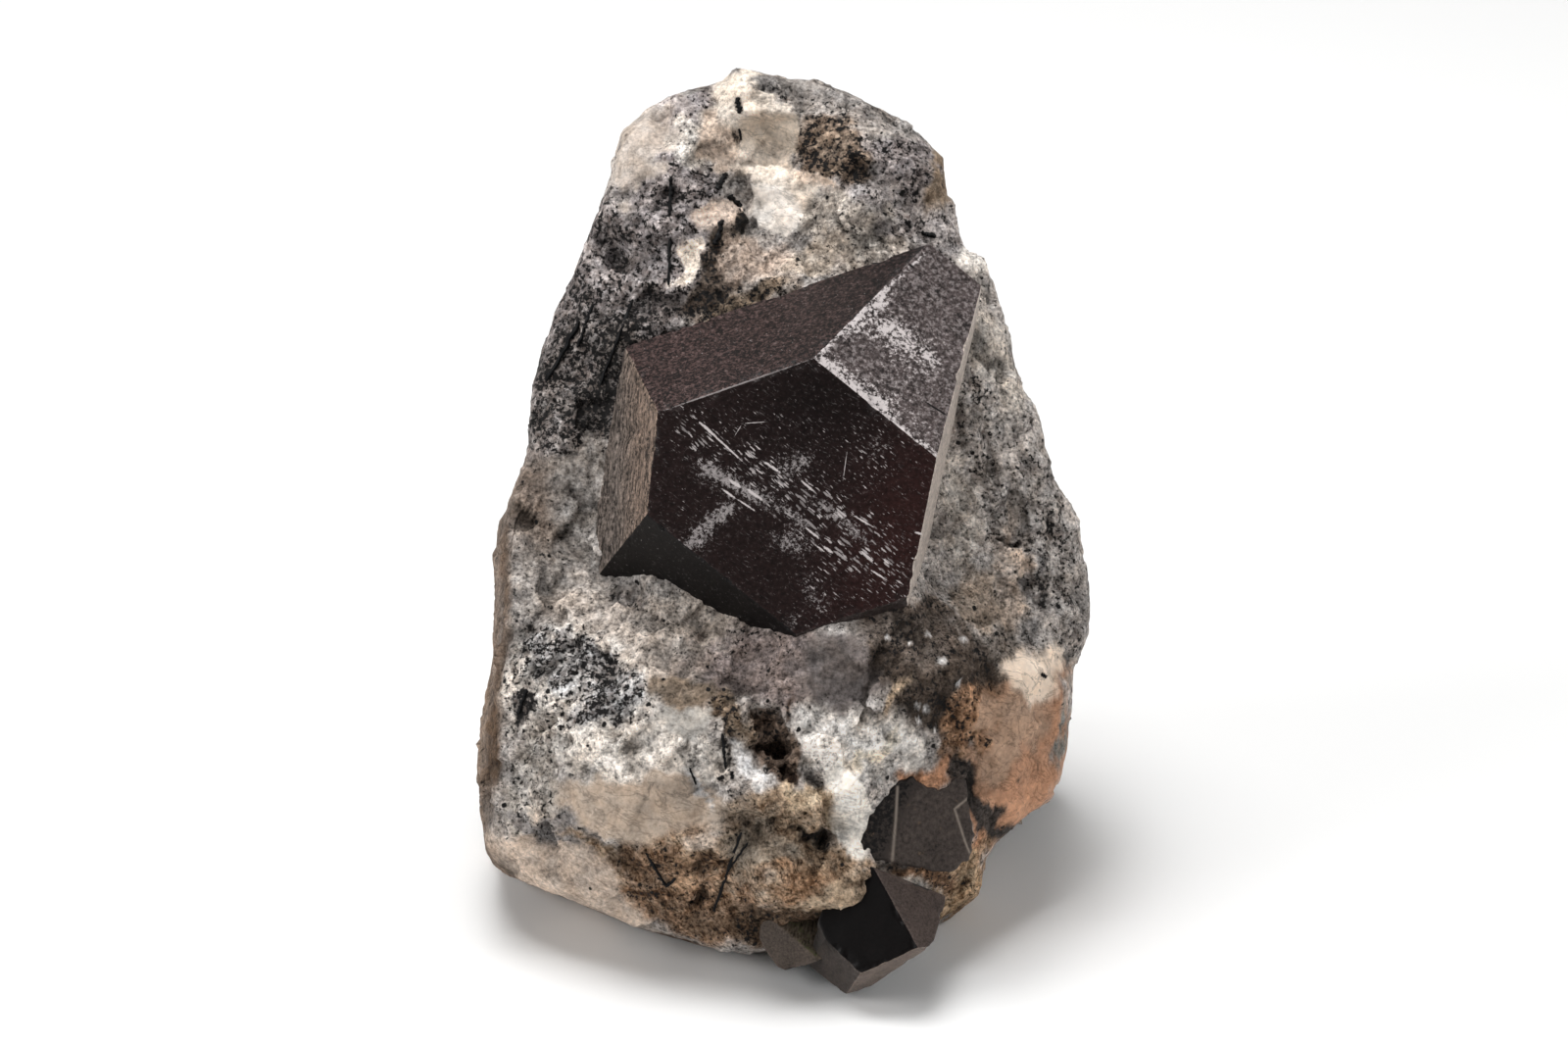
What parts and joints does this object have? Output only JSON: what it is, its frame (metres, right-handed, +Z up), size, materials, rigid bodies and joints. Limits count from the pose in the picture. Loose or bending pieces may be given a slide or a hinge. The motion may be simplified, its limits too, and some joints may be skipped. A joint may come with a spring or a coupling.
{
  "type": "lorenzenite crystal in matrix",
  "caption": "Mineral specimen: a sharp dark brown lorenzenite crystal standing out of a leaning block of pale and black-speckled feldspar rock, with small black crystals at its foot",
  "frame": {"origin": "middle of the bounding box in X and Y, on the flat base the stone stands on", "axes": "+Z up, the show face with the large crystal looks along -Y and leans back 25 degrees, +X to the right seen from the front"},
  "size_m": [0.0562, 0.057, 0.0684],
  "materials": {
    "matrix_rock": "rough granular feldspar rock, grey, cream and orange, with black grains",
    "large_crystal": "dark brown crystal faces, satin, with fine pale scratches",
    "black_crystal": "black crystal faces, half gloss",
    "flat_crystal": "dark grey crystal section, dull"
  },
  "bodies": {
    "root": {"matrix": "matrix_rock", "large_crystal": "large_crystal", "small_crystals": "black_crystal", "embedded_crystal": "flat_crystal"}
  },
  "joints": []
}
